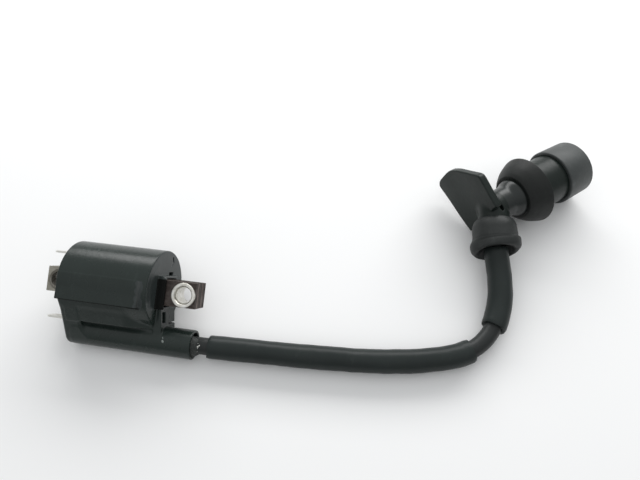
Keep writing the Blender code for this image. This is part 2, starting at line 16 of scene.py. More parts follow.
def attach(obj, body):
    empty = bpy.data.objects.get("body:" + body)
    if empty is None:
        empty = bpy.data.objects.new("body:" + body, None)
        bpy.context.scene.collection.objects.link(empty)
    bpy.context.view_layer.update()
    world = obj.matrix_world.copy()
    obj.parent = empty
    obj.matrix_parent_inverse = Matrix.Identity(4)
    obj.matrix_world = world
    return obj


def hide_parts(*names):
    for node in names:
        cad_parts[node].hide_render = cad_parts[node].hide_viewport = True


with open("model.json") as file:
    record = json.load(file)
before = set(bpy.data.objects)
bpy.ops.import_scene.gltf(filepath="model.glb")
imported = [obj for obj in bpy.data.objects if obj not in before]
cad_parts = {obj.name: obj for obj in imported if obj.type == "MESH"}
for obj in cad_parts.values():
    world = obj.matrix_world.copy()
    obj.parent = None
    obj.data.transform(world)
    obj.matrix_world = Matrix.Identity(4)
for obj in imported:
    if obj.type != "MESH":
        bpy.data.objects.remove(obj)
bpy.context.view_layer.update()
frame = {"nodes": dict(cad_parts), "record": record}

# Dimensions in millimetres. Most are the CAD part's own, and the rest are details that only the looks have.
BODY_R, TOWER_R, TOWER_DROP = 15.8, 6.0, 21.2
TILT = acos((BODY_R - TOWER_R) / TOWER_DROP)
BODY_Y = (TOWER_R + TOWER_DROP * sin(TILT) - BODY_R) / 2
BODY_LEFT, BODY_RIGHT = -21.65, 16.75
PAD_END, PAD_FACE, PAD_LOW, PAD_TOP = 12.4, -BODY_R - 0.15, -7.6, 3.3
WEB_SHRINK = 0.05  # the web starts this far inside the barrel's left end
WEB_EDGE = 1.2
GROOVE_TOP = -16.2  # lower edge of the shoulder that hangs over the groove between barrel and tower
RIB_HALF = 4.7
END_SKEW = 0.05  # the right end leans this much for each millimetre of depth
COLLAR_FRONT, COLLAR_LOW, WAY_TOP = -6.9, -7.9, 4.4
TOWER_START, TOWER_MOUTH, TOWER_BORE_R = -13.5, 32.2, 4.8
CORE_HALF, CORE_THICK, CORE_HIGH, CORE_Z = 32.35, 10.6, 10.4, -1.1
CORE_SHEETS, SHEET_GAP = 21, 0.05
BUSH_X, BUSH_BORE_R, BUSH_R, BUSH_FLANGE_R, BUSH_FLANGE = 27.15, 3.25, 4.3, 5.0, 0.9
BLADE_UP_Z, BLADE_DOWN_Z = 10.2, -17.0
LEAD_R, LEAD_START = 3.5, 12.0
SLEEVE_BORE_R, LONG_SLEEVE_R, SHORT_SLEEVE_R = 3.6, 4.75, 5.0
LEAD_ROUTE = [
    (24.0, -14.3, 6.0), (31.65, -14.3, 6.0), (37.5, -14.1, 5.7), (43.0, -13.8, 5.2), (51.1, -13.4, 4.9),
    (63.6, -12.9, 4.85), (75.9, -12.4, 4.85), (88.0, -11.7, 4.85), (99.9, -10.9, 4.85), (111.7, -9.6, 4.85),
    (123.3, -7.7, 4.85), (134.5, -4.7, 4.85), (140.6, -2.1, 4.85), (145.6, 1.7, 4.9), (149.4, 6.4, 5.1),
    (151.9, 11.8, 5.6), (153.2, 17.6, 6.4), (153.6, 23.5, 7.6), (153.2, 29.5, 9.0), (152.2, 35.4, 10.4),
]
LONG_SLEEVE_SPAN = (38.0, 143.2)
SHORT_SLEEVE_FROM_Y = 9.5
SHORT_SLEEVE_GAP = 2.4  # from its end to the mouth of the lead's cover
MOUTH, ELBOW = Vector((151.1, 41.3, 11.9)), Vector((148.7, 60.0, 17.0))
PLUG_HEADING, PLUG_PITCH = radians(40.5), radians(-6.3)
SOCKET_R, TUBE_R = 6.5, 10.9
COVER_REACH = 6.6  # the socket ends this far inside the mouth of the lead's cover
TAB_BACK, TAB_FRONT, TAB_EDGE = -1.9, -5.1, 0.55
TAB_OUTLINE = [
    (-4.3, -16.0), (21.0, -20.2), (22.9, -18.0), (24.4, -8.6), (23.8, -5.2), (14.3, 9.6), (-0.6, 9.6),
]
TAB_FILLETS = (0.4, 1.4, 1.4, 3.0, 3.0, 1.6, 0.8)  # one for each corner
SEAL_FROM, SEAL_TO, SEAL_R = 11.4, 19.8, 14.9
BOOT_FROM, BOOT_TO, BOOT_R = 33.3, 46.8, (12.4, 11.9)


# ---- frames ----------------------------------------------------------------------------------------------


def home(origin, x_axis, y_axis):
    """Matrix from a local frame in millimetres to the row frame in metres."""
    turn = Matrix((x_axis, y_axis, x_axis.cross(y_axis))).transposed().to_4x4()
    return Matrix.Scale(0.001, 4) @ Matrix.Translation(origin) @ turn


ROW = Matrix.Scale(0.001, 4)
COIL = home(Vector((0, BODY_Y, BODY_R)), Vector((1, 0, 0)), Vector((0, cos(TILT), -sin(TILT))))
PLUG_AXIS = Vector(
    (cos(PLUG_HEADING) * cos(PLUG_PITCH), sin(PLUG_HEADING) * cos(PLUG_PITCH), sin(PLUG_PITCH))
)
OUTWARD = (MOUTH - ELBOW).normalized()
DEPTH = (MOUTH - ELBOW).length
PLUG = home(ELBOW, PLUG_AXIS, -(OUTWARD - OUTWARD.dot(PLUG_AXIS) * PLUG_AXIS).normalized())
SOCKET = home(ELBOW, OUTWARD, OUTWARD.cross(PLUG_AXIS).normalized())


# ---- camera ----------------------------------------------------------------------------------------------

CAMERA_AT, CAMERA_LENS = (0.106653, -0.074578, 0.211852), 29.81


def make_camera():
    """Above the coil, in front of it and to its right, looking down at about 60 degrees."""
    # The row's Z and X axes as the camera sees them.
    up_seen = Vector((-0.06, 0.5, 0.865)).normalized()
    along_seen = Vector((0.984, -0.108, 0.1307))
    along_seen = (along_seen - along_seen.dot(up_seen) * up_seen).normalized()
    turn = Matrix((along_seen, up_seen.cross(along_seen), up_seen)).to_4x4()
    data = bpy.data.cameras.new("camera")
    data.sensor_width = 36.0
    data.lens = CAMERA_LENS
    data.clip_start, data.clip_end = 0.01, 10.0
    made = bpy.data.objects.new("camera", data)
    made.matrix_world = Matrix.Translation(Vector(CAMERA_AT)) @ turn
    bpy.context.scene.collection.objects.link(made)
    bpy.context.scene.camera = made


make_camera()


# ---- materials -------------------------------------------------------------------------------------------


class Paint:
    """A Principled material whose helpers add nodes in object space, in metres."""

    def __init__(self, name, colour, roughness, metallic=0.0, specular=0.5):
        self.made = bpy.data.materials.new(name)
        self.made.use_nodes = True
        self.tree = self.made.node_tree
        self.shader = self.tree.nodes["Principled BSDF"]
        self.shader.inputs["Base Color"].default_value = (*colour, 1.0)
        self.shader.inputs["Roughness"].default_value = roughness
        self.shader.inputs["Metallic"].default_value = metallic
        self.shader.inputs["Specular IOR Level"].default_value = specular
        self.place = self.node("ShaderNodeTexCoord").outputs["Object"]

    def node(self, kind, **values):
        made = self.tree.nodes.new(kind)
        for key, value in values.items():
            setattr(made, key, value)
        return made

    def link(self, out, into):
        self.tree.links.new(out, into)
        return self

    def noise(self, scale, detail=3.0, rough=0.55, stretch=None, turn=(0, 0, 0)):
        """A noise's value, with scale in features per metre."""
        source = self.place
        if stretch:
            mapping = self.node("ShaderNodeMapping")
            mapping.inputs["Scale"].default_value = stretch
            mapping.inputs["Rotation"].default_value = turn
            self.link(source, mapping.inputs["Vector"])
            source = mapping.outputs["Vector"]
        made = self.node("ShaderNodeTexNoise")
        made.inputs["Scale"].default_value = scale
        made.inputs["Detail"].default_value = detail
        made.inputs["Roughness"].default_value = rough
        self.link(source, made.inputs["Vector"])
        return made.outputs["Fac"]

    def ramp(self, value, stops):
        """A colour ramp through (position, grey or colour) stops."""
        made = self.node("ShaderNodeValToRGB")
        ends = made.color_ramp.elements
        while len(ends) < len(stops):
            ends.new(0.5)
        for end, (position, colour) in zip(ends, stops):
            end.position = position
            end.color = (*colour, 1.0) if isinstance(colour, tuple) else (colour, colour, colour, 1.0)
        self.link(value, made.inputs["Fac"])
        return made.outputs["Color"]

    def mix(self, factor, a, b, mode="MIX"):
        made = self.node("ShaderNodeMix", data_type="RGBA", blend_type=mode)
        for key, value in (("Factor_Float", factor), ("A_Color", a), ("B_Color", b)):
            socket = next(s for s in made.inputs if s.identifier == key)
            if isinstance(value, bpy.types.NodeSocket):
                self.link(value, socket)
            else:
                socket.default_value = value if key == "Factor_Float" else (*value, 1.0)
        return next(s for s in made.outputs if s.identifier == "Result_Color")

    def add(self, value, times, plus):
        made = self.node("ShaderNodeMath", operation="MULTIPLY_ADD")
        self.link(value, made.inputs[0])
        made.inputs[1].default_value = times
        made.inputs[2].default_value = plus
        return made.outputs[0]

    def colour(self, value):
        return self.link(value, self.shader.inputs["Base Color"])

    def rough(self, value):
        return self.link(value, self.shader.inputs["Roughness"])

    def bump(self, height, distance, strength=1.0):
        """A bump whose height of 1 stands for distance, in metres."""
        made = self.node("ShaderNodeBump")
        made.inputs["Strength"].default_value = strength
        made.inputs["Distance"].default_value = distance
        self.link(height, made.inputs["Height"])
        existing = self.shader.inputs["Normal"]
        if existing.is_linked:
            self.link(existing.links[0].from_socket, made.inputs["Normal"])
        return self.link(made.outputs["Normal"], existing)


def moulded(name, colour, roughness, spread=0.10, scuff=0.5, grain=0.00002, specular=0.5, cloud=0.45):
    """A black plastic or rubber: uneven gloss, faint pale scuffs and a fine grain."""
    made = Paint(name, colour, roughness, specular=specular)
    patches = made.noise(90, 4)
    made.rough(made.add(patches, spread * 2, roughness - spread))
    rubs = made.noise(420, 6, 0.7, (1.0, 0.35, 0.6), (0.3, 0.5, 0.7))
    pale = tuple(min(1.0, c * 2.1 + 0.012) for c in colour)
    worn = made.ramp(rubs, [(0.56, 0.0), (0.70, scuff)])
    clouds = made.ramp(made.noise(60, 3), [(0.30, 0.0), (0.75, cloud)])
    base = made.mix(clouds, colour, tuple(c * 1.45 + 0.002 for c in colour))
    made.colour(made.mix(worn, base, pale))
    made.bump(made.noise(2600, 2), grain)
    made.bump(made.noise(240, 2), grain * 3)
    return made.made


HOUSING = moulded("black_housing", (0.0125, 0.0190, 0.0165), 0.275, spread=0.05, scuff=0.3, specular=0.30)
# Painted shade: a near-black matt copy of the housing, put on the collar's front wall and in the crease under
# the pad, where shadow falls.
PAINTED_SHADE = moulded("housing_painted_shade", (0.0035, 0.004, 0.0035), 0.75, scuff=0.1, specular=0.15)
# Painted highlight: a lighter copy of the housing on the slope where the pad ends.
PAINTED_HIGHLIGHT = moulded("housing_painted_highlight", (0.0290, 0.0335, 0.0325), 0.38, spread=0.08, scuff=0.5, specular=0.40)
# Painted reflection: a lighter copy of the housing on the end face and round the pad's end, for the bright
# floor that they mirror.
PAINTED_REFLECTION = moulded("housing_painted_reflection", (0.0240, 0.0300, 0.0295), 0.34, spread=0.07, scuff=0.4, specular=0.34)
PALE = moulded("moulding_flash", (0.16, 0.18, 0.17), 0.45, scuff=0.2)
LEAD = moulded("lead_rubber", (0.0120, 0.0142, 0.0138), 0.42, spread=0.06, scuff=0.25, specular=0.30)
SLEEVE = moulded(
    "sleeve_vinyl", (0.0145, 0.0190, 0.0180), 0.38, spread=0.05, scuff=0.2, grain=0.00003, specular=0.2,
)
RESIN = moulded("cap_resin", (0.0105, 0.0150, 0.0130), 0.33, spread=0.05, scuff=0.25, specular=0.2)
NECK = moulded(
    "cap_neck", (0.0130, 0.0165, 0.0155), 0.29, spread=0.02, scuff=0.12, grain=0.00001, specular=0.36,
    cloud=0.12,
)
RUBBER = moulded("cap_rubber", (0.0120, 0.0145, 0.0138), 0.52, scuff=0.3, grain=0.00004, specular=0.36)
SEAL_RUBBER = moulded("seal_rubber", (0.0065, 0.0080, 0.0072), 0.50, scuff=0.3, grain=0.00004, specular=0.30)
BOOT_RUBBER = moulded("boot_rubber", (0.0360, 0.0410, 0.0400), 0.50, scuff=0.5, grain=0.00005, specular=0.42)
EPOXY = moulded("dark_epoxy", (0.012, 0.012, 0.013), 0.25, scuff=0.1)


def make_sealant():
    """Clear glue over the black bore, so dark, with a dusty skin."""
    made = Paint("tower_sealant", (0.012, 0.015, 0.014), 0.5, specular=0.4)
    dust = made.ramp(made.noise(1900, 5, 0.7), [(0.45, (0.009, 0.011, 0.010)), (0.72, (0.050, 0.058, 0.052))])
    made.colour(dust)
    made.bump(made.noise(1500, 4, 0.7), 0.00018)
    return made.made


def make_zinc(name, light, dark, metallic):
    made = Paint(name, light, 0.34, metallic=metallic)
    stains = made.ramp(made.noise(500, 5), [(0.35, light), (0.62, dark)])
    made.colour(stains)
    made.rough(made.add(made.noise(900, 4), 0.25, 0.22))
    made.bump(made.noise(3000, 2), 0.00001)
    return made.made


def make_steel(name, tone):
    """Sheet steel with rust on it, in light and dark streaks. A tone of 1 is the plain sheet."""
    made = Paint(name, (0.1, 0.08, 0.07), 0.62, metallic=0.1, specular=0.35)
    rust = made.noise(420, 8, 0.65, (0.5, 0.5, 1.0))
    stops = [(0.30, (0.125, 0.108, 0.098)), (0.46, (0.078, 0.062, 0.055)), (0.58, (0.038, 0.028, 0.024)),
             (0.74, (0.115, 0.094, 0.084))]
    base = made.ramp(rust, [(at, tuple(c * tone for c in colour)) for at, colour in stops])
    made.colour(base)
    made.rough(made.add(made.noise(700, 5), 0.3, 0.45))
    made.bump(made.noise(1500, 6), 0.00008)
    return made.made


def make_clean_steel():
    made = Paint("laminated_steel_clean", (0.3, 0.285, 0.245), 0.5, metallic=0.4)
    base = made.ramp(made.noise(300, 7), [(0.35, (0.36, 0.345, 0.295)), (0.60, (0.25, 0.235, 0.195)),
                                          (0.78, (0.13, 0.11, 0.085))])
    made.colour(base)
    made.rough(made.add(made.noise(700, 5), 0.3, 0.35))
    made.bump(made.noise(1500, 5), 0.00005)
    return made.made


def make_glue():
    made = Paint("clear_glue", (0.80, 0.80, 0.76), 0.16)
    made.shader.inputs["Transmission Weight"].default_value = 0.35
    made.shader.inputs["IOR"].default_value = 1.45
    made.bump(made.noise(900, 3), 0.0002)
    return made.made


ZINC = make_zinc("zinc_plate", (0.80, 0.79, 0.75), (0.60, 0.58, 0.52), 1.0)
DULL_ZINC = make_zinc("zinc_plate_dull", (0.20, 0.19, 0.165), (0.12, 0.11, 0.09), 0.5)
STEELS = [make_steel(f"laminated_steel_{i}", tone) for i, tone in enumerate((0.85, 1.9, 0.6))]
CLEAN_STEEL, GLUE, SEALANT = make_clean_steel(), make_glue(), make_sealant()


def make_tin():
    made = Paint("tinned_blade", (0.70, 0.69, 0.64), 0.32, metallic=0.95)
    made.rough(made.add(made.noise(900, 4), 0.25, 0.22))
    return made.made


TIN = make_tin()


# ---- shapes ----------------------------------------------------------------------------------------------


def piece(name, points, faces, place, material, body, nodes, sharp=40):
    """A mesh of millimetre points in the frame of place, which stands for CAD nodes on a body."""
    mesh = bpy.data.meshes.new(name)
    mesh.from_pydata([place @ Vector(p) for p in points], [], faces)
    mesh.validate()
    mesh.shade_smooth()
    if sharp:
        mesh.set_sharp_from_angle(angle=radians(sharp))
    for one in material if isinstance(material, list) else [material]:
        mesh.materials.append(one)
    made = bpy.data.objects.new(name, mesh)
    bpy.context.scene.collection.objects.link(made)
    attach(made, body)
    if nodes:
        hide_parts(*nodes)
    return made


def rounded(corners, steps=4):
    """Turns (x, r, fillet) corners of a closed outline into points, with a curve at each filleted corner."""
    made = []
    for i, (x, r, fillet) in enumerate(corners):
        here = Vector((x, r))
        if not fillet:
            made.append(tuple(here))
            continue
        before, after = (Vector(corners[j % len(corners)][:2]) - here for j in (i - 1, i + 1))
        a, b = (here + side.normalized() * min(fillet, side.length * 0.49) for side in (before, after))
        for k in range(steps + 1):
            t = k / steps
            made.append(tuple(a * (1 - t) ** 2 + here * 2 * t * (1 - t) + b * t**2))
    return made


def lathe(profile, segments=96, centre=(0.0, 0.0), wave=None):
    """Points and faces of a closed (x, r) profile turned about X. wave(x, r, angle) changes a point."""
    points, faces = [], []
    for i in range(segments):
        t = 2 * pi * i / segments
        for x, r in profile:
            x, r = wave(x, r, t) if wave else (x, r)
            points.append((x, centre[0] + r * sin(t), centre[1] + r * cos(t)))
    n = len(profile)
    for i in range(segments):
        a, b = i * n, (i + 1) % segments * n
        for k in range(n):
            m = (k + 1) % n
            if profile[k][1] < 1e-6 and profile[m][1] < 1e-6:
                continue
            faces.append((a + k, a + m, b + m, b + k))
    return points, faces


BOX_FACES = ((0, 1, 3, 2), (4, 6, 7, 5), (0, 4, 5, 1), (2, 3, 7, 6), (0, 2, 6, 4), (1, 5, 7, 3))


def box(low, high):
    """Points and faces of a box between two corners."""
    points = [(x, y, z) for x in (low[0], high[0]) for y in (low[1], high[1]) for z in (low[2], high[2])]
    return points, list(BOX_FACES)


# Distances, negative inside, for shapes that flow into each other. All take arrays of x, y, z.


def rod(x, y, z, start, end, radius, centre=(0.0, 0.0), edge=0.5):
    out = np.hypot(y - centre[0], z - centre[1]) - radius + edge
    along = np.abs(x - (start + end) / 2) - (end - start) / 2 + edge
    return np.minimum(np.maximum(out, along), 0) + np.hypot(np.maximum(out, 0), np.maximum(along, 0)) - edge


def slab(x, y, z, low, high, edge=0.4):
    parts = [np.abs(v - (a + b) / 2) - (b - a) / 2 + edge for v, a, b in zip((x, y, z), low, high)]
    outside = np.sqrt(sum(np.maximum(p, 0) ** 2 for p in parts))
    return outside + np.minimum(np.maximum(np.maximum(parts[0], parts[1]), parts[2]), 0) - edge


def strand(x, y, z, start, end, radius):
    """A round bar between two points, with round ends."""
    ax, ay, az = (e - s for s, e in zip(start, end))
    px, py, pz = x - start[0], y - start[1], z - start[2]
    t = np.clip((px * ax + py * ay + pz * az) / (ax * ax + ay * ay + az * az), 0, 1)
    return np.sqrt((px - t * ax) ** 2 + (py - t * ay) ** 2 + (pz - t * az) ** 2) - radius


def join(a, b, blend):
    h = np.maximum(blend - np.abs(a - b), 0) / blend
    return np.minimum(a, b) - h * h * blend / 4


def carve(a, b, blend=0.3):
    return -join(-a, b, blend)


def outline(y, z, corners, edge):
    """Distance to a convex or slightly bent polygon of (y, z) corners, with rounded corners."""
    near = np.full(y.shape, 1e9)
    inside = np.zeros(y.shape, bool)
    for (ay, az), (by, bz) in zip(corners, corners[1:] + corners[:1]):
        ey, ez, wy, wz = by - ay, bz - az, y - ay, z - az
        t = np.clip((wy * ey + wz * ez) / (ey * ey + ez * ez), 0, 1)
        near = np.minimum(near, np.hypot(wy - t * ey, wz - t * ez))
        crossing = (az > z) != (bz > z)
        inside ^= crossing & (y < ey * (z - az) / (ez if ez else 1e-9) + ay)
    return np.where(inside, -near, near) - edge


def ease(x, start, end):
    t = np.clip((x - start) / (end - start), 0, 1)
    return t * t * (3 - 2 * t)


def skin(field, low, high, step):
    """Points and quads of the surface where field(x, y, z) is 0: one point in each cell that it crosses."""
    step *= 1
    low = np.array(low, float)
    counts = np.ceil((np.array(high) - low) / step).astype(int) + 1
    axes = [low[i] + step * np.arange(counts[i]) for i in range(3)]
    values = field(*np.meshgrid(*axes, indexing="ij"))
    cells = counts - 1
    total, hits = np.zeros((*cells, 3)), np.zeros(cells)
    crossings = []
    for a in range(3):
        b, c = (a + 1) % 3, (a + 2) % 3
        first, second = [slice(None)] * 3, [slice(None)] * 3
        first[a], second[a] = slice(0, -1), slice(1, None)
        va, vb = values[tuple(first)], values[tuple(second)]
        crossed = (va < 0) != (vb < 0)
        share = np.where(crossed, va / np.where(crossed, va - vb, 1), 0)
        crossings.append((crossed, va < 0))
        for ob in (0, 1):
            for oc in (0, 1):
                part = [slice(None)] * 3
                part[b], part[c] = slice(ob, cells[b] + ob), slice(oc, cells[c] + oc)
                seen = crossed[tuple(part)]
                total[..., a] += np.where(seen, share[tuple(part)], 0)
                total[..., b] += seen * ob
                total[..., c] += seen * oc
                hits += seen
    active = hits > 0
    index = np.cumsum(active.ravel()).reshape(active.shape) - 1
    points = np.argwhere(active) + total[active] / hits[active][:, None]
    points = low + points * step
    faces = []
    for a in range(3):
        b, c = (a + 1) % 3, (a + 2) % 3
        crossed, starts_inside = crossings[a]
        at = np.argwhere(crossed)
        keep = (at[:, b] > 0) & (at[:, b] < cells[b]) & (at[:, c] > 0) & (at[:, c] < cells[c])
        at = at[keep]
        flip = starts_inside[tuple(at.T)]
        corners = []
        for ob, oc in ((-1, -1), (0, -1), (0, 0), (-1, 0)):
            cell = at.copy()
            cell[:, b] += ob
            cell[:, c] += oc
            corners.append(index[tuple(cell.T)])
        quads = np.stack(corners, 1)
        quads[~flip] = quads[~flip][:, ::-1]
        faces.append(quads)
    for _ in range(2):
        here = field(*points.T)
        h = 0.02
        rises = [field(*(points + h * e).T) - field(*(points - h * e).T) for e in np.eye(3)]
        slope = np.stack(rises, 1) / (2 * h)
        steep = np.maximum((slope**2).sum(1), 0.25)
        shift = -(here / steep)[:, None] * slope
        reach = np.linalg.norm(shift, axis=1, keepdims=True)
        points += shift * np.minimum(1, 0.4 * step / np.maximum(reach, 1e-9))
    return points.tolist(), np.concatenate(faces).tolist()


def smooth_route(points, step):
    """Points every step along a Catmull-Rom curve through the given points."""
    points = [Vector(p) for p in points]
    padded = [2 * points[0] - points[1]] + points + [2 * points[-1] - points[-2]]
    fine = []
    for p0, p1, p2, p3 in zip(padded, padded[1:], padded[2:], padded[3:]):
        for i in range(16):
            t = i / 16
            fine.append(
                0.5 * (2 * p1 + (p2 - p0) * t + (2 * p0 - 5 * p1 + 4 * p2 - p3) * t**2
                       + (3 * p1 - p0 - 3 * p2 + p3) * t**3)
            )
    fine.append(points[-1])
    total = sum((b - a).length for a, b in zip(fine, fine[1:]))
    count = round(total / step)
    wanted, made, passed = total / count, [fine[0]], 0.0
    for a, b in zip(fine, fine[1:]):
        length = (b - a).length
        while len(made) < count and passed + length >= wanted * len(made):
            made.append(a.lerp(b, (wanted * len(made) - passed) / length))
        passed += length
    return made + [points[-1]]


# ---- lead and sleeves ------------------------------------------------------------------------------------


def lead_points(step):
    ahead = [MOUTH - OUTWARD * reach for reach in (0.0, 5.0, 13.6)]
    y, z = BODY_Y - TOWER_DROP * sin(TILT), BODY_R - TOWER_DROP * cos(TILT)
    route = [(LEAD_START, y, z)] + LEAD_ROUTE + [tuple(p) for p in ahead]
    return smooth_route([(p[0], y, z) if p[0] < TOWER_MOUTH + 1 else p for p in route], step)


def make_lead():
    points = lead_points(1.5)
    curve = bpy.data.curves.new("lead", "CURVE")
    curve.dimensions = "3D"
    curve.bevel_depth = LEAD_R * 0.001
    curve.bevel_resolution = 10
    curve.use_fill_caps = True
    line = curve.splines.new("POLY")
    line.points.add(len(points) - 1)
    for target, point in zip(line.points, points):
        target.co = (*(point * 0.001), 1.0)
    line.use_smooth = True
    curve.materials.append(LEAD)
    made = bpy.data.objects.new("lead", curve)
    bpy.context.scene.collection.objects.link(made)
    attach(made, "coil")
    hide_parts("ht_lead")
    length = sum((b - a).length for a, b in zip(points, points[1:])) * 0.001
    return made, length


def make_sleeve(name, points, radius, node):
    """A tube along points with a slightly uneven outer surface and cut ends."""
    sides, ripple = 56, 0.05
    count = len(points)
    rings = []
    for i, point in enumerate(points):
        along = (points[min(i + 1, count - 1)] - points[max(i - 1, 0)]).normalized()
        side = along.cross(Vector((0, 0, 1))).normalized()
        rings.append((point, side, side.cross(along), along))
    verts, faces = [], []
    for outside, r in ((0, SLEEVE_BORE_R), (1, radius)):
        for i, (point, side, up, along) in enumerate(rings):
            at_end = i in (0, count - 1)
            for k in range(sides):
                t = 2 * pi * k / sides
                grow = 0.0
                if outside:
                    lumps = sin(0.19 * i + 2 * t) + 0.6 * sin(0.53 * i - t + 1.3) + 0.4 * sin(0.9 * i + 3 * t)
                    grow = ripple * lumps - (0.25 if at_end else 0.0)
                skew = 0.35 * sin(t + i) + 0.15 * sin(3 * t) if at_end else 0.0
                verts.append(point + (r + grow) * (side * cos(t) + up * sin(t)) + along * skew)
    for outside in (0, 1):
        for i in range(count - 1):
            a, b = (outside * count + i) * sides, (outside * count + i + 1) * sides
            for k in range(sides):
                m = (k + 1) % sides
                quad = (a + k, a + m, b + m, b + k)
                faces.append(quad if outside else quad[::-1])
    for i in (0, count - 1):
        a, b = i * sides, (count + i) * sides
        for k in range(sides):
            m = (k + 1) % sides
            quad = (a + k, a + m, b + m, b + k)
            faces.append(quad if i else quad[::-1])
    return piece(name, verts, faces, ROW, SLEEVE, "coil", [node], sharp=50)


lead, lead_length = make_lead()
fine_line = lead_points(1.0)
long_run = [p for p in fine_line if LONG_SLEEVE_SPAN[0] <= p.x <= LONG_SLEEVE_SPAN[1] and p.y < 5]
long_sleeve = make_sleeve("sleeve_long", long_run, LONG_SLEEVE_R, "long_sleeve")
stop = MOUTH - OUTWARD * SHORT_SLEEVE_GAP
short_run = [p for p in fine_line if p.y > SHORT_SLEEVE_FROM_Y and (p - stop).dot(OUTWARD) > 0]
short_sleeve = make_sleeve("sleeve_short", short_run, SHORT_SLEEVE_R, "short_sleeve")


# ---- coil housing ----------------------------------------------------------------------------------------


def hull_field(y, z):
    """The barrel and the tower with the tangents between them."""
    lean = (BODY_R - TOWER_R) / TOWER_DROP
    flat = (1 - lean * lean) ** 0.5
    ay, az = np.abs(y), -z
    k = -lean * ay + flat * az
    by_tower = k > flat * TOWER_DROP
    tangents = np.where(by_tower, np.hypot(ay, az - TOWER_DROP) - TOWER_R, flat * ay + lean * az - BODY_R)
    return np.where(k < 0, np.hypot(ay, az) - BODY_R, tangents)


def barrel_and_tower(x, y, z, hull):
    """The barrel and the tower, with the web and the groove between them."""
    leaning = x - END_SKEW * y * ease(x, 8.0, 15.0)
    barrel = rod(leaning, y, z, BODY_LEFT, BODY_RIGHT, BODY_R, edge=0.6)
    # The web is as wide as the tangents from barrel to tower at the left, and a narrow rib after that.
    start = BODY_LEFT + WEB_SHRINK
    middle, half = (start + TOWER_START) / 2, (TOWER_START - start) / 2
    across_web, along_web = hull + 0.1 + WEB_EDGE, np.abs(x - middle) - half + WEB_EDGE
    web = np.minimum(np.maximum(across_web, along_web), 0)
    web = web + np.hypot(np.maximum(across_web, 0), np.maximum(along_web, 0)) - WEB_EDGE
    rib = slab(x, y, z, (TOWER_START - 4, -RIB_HALF, -TOWER_DROP), (BODY_RIGHT - 0.7, RIB_HALF, -9.0), 0.3)
    tower = rod(x, y, z, TOWER_START - 3, TOWER_MOUTH, TOWER_R, (0.0, -TOWER_DROP), 0.35)
    # The barrel's underside runs on as a shoulder over the groove, and fades out to the right.
    inset = 0.1 + 3.4 * ease(x, 5.0, 17.0)
    shoulder = np.maximum(hull + inset, np.maximum(GROOVE_TOP - z, np.abs(x + 1.5) - 17.5))
    body = join(join(barrel, shoulder, 0.6), join(join(rib, tower, 0.6), web, 3.2), 0.7)
    return np.maximum(body, hull)


def pad_and_end(body, x, y, z, hull):
    """Adds the flat pad on the front, and the boss, collar and shroud on the right end."""
    # The pad is nearly flush above and proud below, and it falls to the barrel at its end.
    fall = 2.3 * ease(x, PAD_END - 0.3, PAD_END + 1.0) + 0.035 * (z - PAD_LOW)
    pad = slab(x, y - fall, z, (BODY_LEFT + 0.1, PAD_FACE, PAD_LOW), (PAD_END + 0.9, -9.0, PAD_TOP), 0.25)
    body = join(body, pad, 0.3)
    boss = slab(x - 0.134 * (-8.5 - z), y, z, (BODY_RIGHT - 2, -5.3, -TOWER_DROP + 1), (18.4, 9.0, -7.2), 0.5)
    boss = np.maximum(boss, hull + 0.4)
    base = BODY_RIGHT - 2
    collar = slab(x, y, z, (base, COLLAR_FRONT, COLLAR_LOW), (BODY_RIGHT + 2.05, 6.7, 5.6), 0.35)
    # The shroud is a thin wall over the core's front beside the end face. It carries painted shade for the
    # shadowed gap there.
    shroud = slab(x, y, z, (base, COLLAR_FRONT + 0.1, COLLAR_LOW), (BODY_RIGHT + 2.9, -5.5, 4.9), 0.3)
    return join(join(join(body, boss, 0.5), collar, 0.3), shroud, 0.2)


def housing_holes(x, y, z):
    """Every hollow in the housing, in the order in which it is cut."""
    inside = rod(x, y, z, BODY_LEFT - 8, BODY_RIGHT - 2, BODY_R - 2, edge=0.5)
    blade_bay = slab(x, y, z, (BODY_LEFT - 3, -4.4, -18.6), (BODY_LEFT + 5, 4.4, -11.8), 0.3)
    core_way = slab(x, y, z, (BODY_RIGHT - 6, -5.6, -7.1), (BODY_RIGHT + 6, 5.65, WAY_TOP), 0.3)
    boss_slot = slab(x, y, z, (BODY_RIGHT - 0.6, -3.6, -13.6), (BODY_RIGHT + 6, -0.7, -9.4), 0.2)
    notch = slab(x, y, z, (BODY_RIGHT - 2.5, 2.4, 5.5), (BODY_RIGHT + 6, 5.8, 6.8), 0.2)
    corner = (BODY_RIGHT, 5.3, 11.2)
    upper = strand(x, y, z, (BODY_RIGHT, 4.4, 12.9), corner, 0.33)
    lower = strand(x, y, z, corner, (BODY_RIGHT, 4.0, 9.7), 0.33)
    mark = np.minimum(upper, lower)
    seam = slab(x, y, z, (17.6, 3.0, -14.6), (21, 12, -14.0), 0.1)
    bore = rod(x, y, z, LEAD_START - 6, TOWER_MOUTH + 4, TOWER_BORE_R, (0.0, -TOWER_DROP), 0.3)
    flare = np.hypot(y, z + TOWER_DROP) - TOWER_BORE_R - 0.25 * ease(x, TOWER_MOUTH - 0.8, TOWER_MOUTH)
    bore = np.where(x > TOWER_MOUTH - 2, np.minimum(bore, flare), bore)
    return inside, blade_bay, core_way, boss_slot, notch, mark, seam, bore


def housing_field(x, y, z):
    hull = hull_field(y, z)
    body = pad_and_end(barrel_and_tower(x, y, z, hull), x, y, z, hull)
    for hole in housing_holes(x, y, z):
        body = carve(body, hole, 0.25)
    return body


